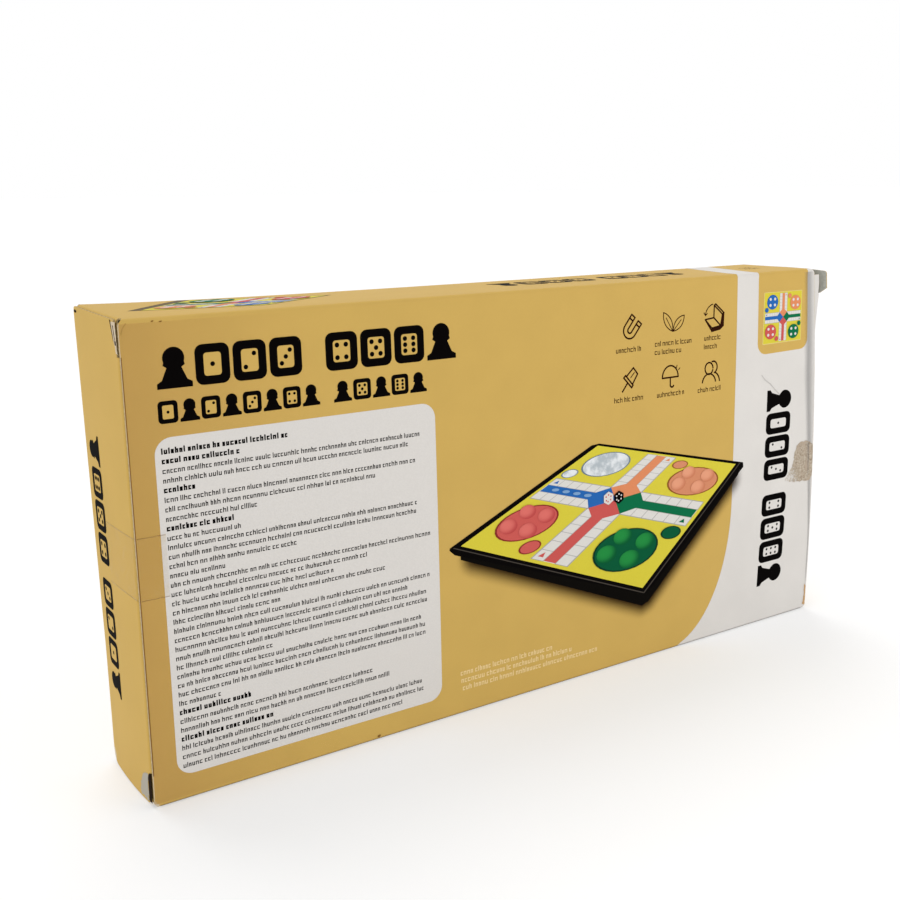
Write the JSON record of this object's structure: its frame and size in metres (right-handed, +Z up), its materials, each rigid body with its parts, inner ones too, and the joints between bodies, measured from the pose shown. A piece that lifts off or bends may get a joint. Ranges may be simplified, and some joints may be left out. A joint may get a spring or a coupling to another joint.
{
  "type": "folding ludo set in tuck-end carton",
  "caption": "Upright tuck-end paperboard carton, its end closures and dust flaps hinged, holding a closed folding magnetic ludo board with tokens and dice.",
  "frame": {"origin": "middle of the footprint, on the surface that the carton stands on", "axes": "+X along the front from the taped end to the other, +Y from the front panel to the back, +Z up"},
  "size_m": [0.2561, 0.0361, 0.132],
  "materials": {
    "printed_board": "offset-printed and varnished paperboard, satin",
    "plain_board": "uncoated white-lined paperboard",
    "clear_tape": "clear packing film, glossy",
    "case_plastic": "moulded, fine matte grain",
    "steel": "tin-plated sheet and drawn wire",
    "magnet": "nickel-plated ferrite discs",
    "board_print": "laminated print",
    "tray_plastic": "thin vacuum-formed sheet",
    "token_blue": "moulded, glossy",
    "token_yellow": "moulded, glossy",
    "token_red": "moulded, glossy",
    "token_green": "moulded, glossy",
    "die_white": "moulded, glossy",
    "die_black": "moulded, glossy"
  },
  "bodies": {
    "carton": {"front_panel": "printed_board", "back_panel": "printed_board", "top_panel": "printed_board", "bottom_panel": "printed_board", "glue_flap": "plain_board", "case_half_front": "case_plastic", "case_half_back": "case_plastic", "hinge_pins": "steel", "catch_magnets": "magnet", "steel_plate_front": "steel", "steel_plate_back": "steel", "board_sheet_front": "board_print", "board_sheet_back": "board_print", "piece_tray": "tray_plastic", "tokens_blue": "token_blue", "tokens_yellow": "token_yellow", "tokens_red": "token_red", "tokens_green": "token_green", "token_magnets": "magnet", "die_white": "die_white", "die_black": "die_black"},
    "left_closure": {"left_closure_panel": "printed_board", "left_seal_tape": "clear_tape"},
    "left_tongue": {"left_tuck_tongue": "printed_board"},
    "left_dust_top": {"left_dust_flap_top": "printed_board"},
    "left_dust_bottom": {"left_dust_flap_bottom": "printed_board"},
    "right_closure": {"right_closure_panel": "printed_board"},
    "right_tongue": {"right_tuck_tongue": "printed_board"},
    "right_dust_top": {"right_dust_flap_top": "printed_board"},
    "right_dust_bottom": {"right_dust_flap_bottom": "printed_board"}
  },
  "joints": [
    {"name": "left_closure_hinge", "type": "hinge", "parent": "carton", "child": "left_closure", "pos_m": [-0.1275, 0.0175, 0.066], "axis": [0, 0, -1], "range_deg": [0, 180]},
    {"name": "left_tongue_crease", "type": "hinge", "parent": "left_closure", "child": "left_tongue", "pos_m": [-0.1275, -0.01615, 0.066], "axis": [0, 0, 1], "range_deg": [0, 90]},
    {"name": "left_dust_top_crease", "type": "hinge", "parent": "carton", "child": "left_dust_top", "pos_m": [-0.1269, 0, 0.1315], "axis": [0, 1, 0], "range_deg": [0, 90]},
    {"name": "left_dust_bottom_crease", "type": "hinge", "parent": "carton", "child": "left_dust_bottom", "pos_m": [-0.1269, 0, 0.0005], "axis": [0, -1, 0], "range_deg": [0, 90]},
    {"name": "right_closure_hinge", "type": "hinge", "parent": "carton", "child": "right_closure", "pos_m": [0.1275, 0.0175, 0.066], "axis": [0, 0, 1], "range_deg": [0, 180]},
    {"name": "right_tongue_crease", "type": "hinge", "parent": "right_closure", "child": "right_tongue", "pos_m": [0.1275, -0.01615, 0.066], "axis": [0, 0, -1], "range_deg": [0, 90]},
    {"name": "right_dust_top_crease", "type": "hinge", "parent": "carton", "child": "right_dust_top", "pos_m": [0.1269, 0, 0.1315], "axis": [0, -1, 0], "range_deg": [0, 90]},
    {"name": "right_dust_bottom_crease", "type": "hinge", "parent": "carton", "child": "right_dust_bottom", "pos_m": [0.1269, 0, 0.0005], "axis": [0, 1, 0], "range_deg": [0, 90]}
  ],
  "couplings": [
    {"joint": "left_tongue_crease", "follows": "left_closure_hinge", "ratio": 0.5},
    {"joint": "left_dust_top_crease", "follows": "left_closure_hinge", "ratio": 0.5},
    {"joint": "left_dust_bottom_crease", "follows": "left_closure_hinge", "ratio": 0.5},
    {"joint": "right_tongue_crease", "follows": "right_closure_hinge", "ratio": 0.5},
    {"joint": "right_dust_top_crease", "follows": "right_closure_hinge", "ratio": 0.5},
    {"joint": "right_dust_bottom_crease", "follows": "right_closure_hinge", "ratio": 0.5}
  ]
}
